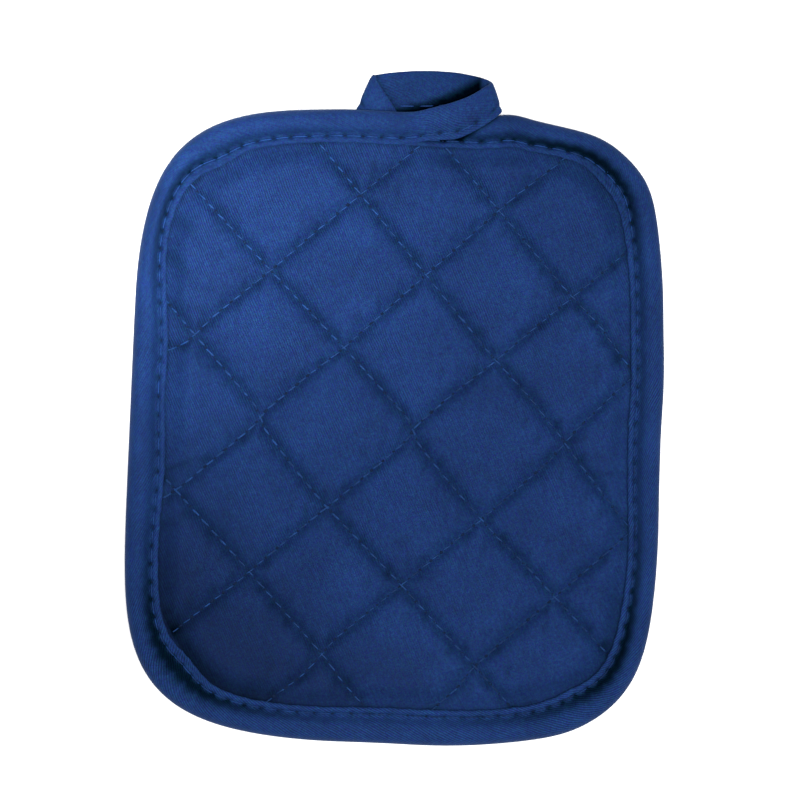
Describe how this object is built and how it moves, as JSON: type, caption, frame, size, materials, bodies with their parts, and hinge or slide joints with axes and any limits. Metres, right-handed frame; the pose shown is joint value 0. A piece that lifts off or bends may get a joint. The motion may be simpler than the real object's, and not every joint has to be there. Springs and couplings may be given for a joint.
{
  "type": "pot holder",
  "caption": "Quilted cotton pot holder with rounded corners, diamond stitching, a padded bound edge and a flat hang loop at the top.",
  "frame": {"origin": "middle of the whole object's box on the surface that it lies on, hang loop included", "axes": "+Z out of the quilted front face, +Y along the length towards the hang loop, +X to the right of the front face"},
  "size_m": [0.17, 0.2148, 0.0101],
  "materials": {
    "pad_twill": "matt navy cotton twill, quilted with one row of blue thread on a diamond grid",
    "binding_twill": "matt navy cotton twill strip cut on the bias, folded and sewn with one row of long stitches"
  },
  "bodies": {
    "root": {"quilted_pad": "pad_twill", "edge_binding": "binding_twill", "hang_loop": "binding_twill"}
  },
  "joints": []
}
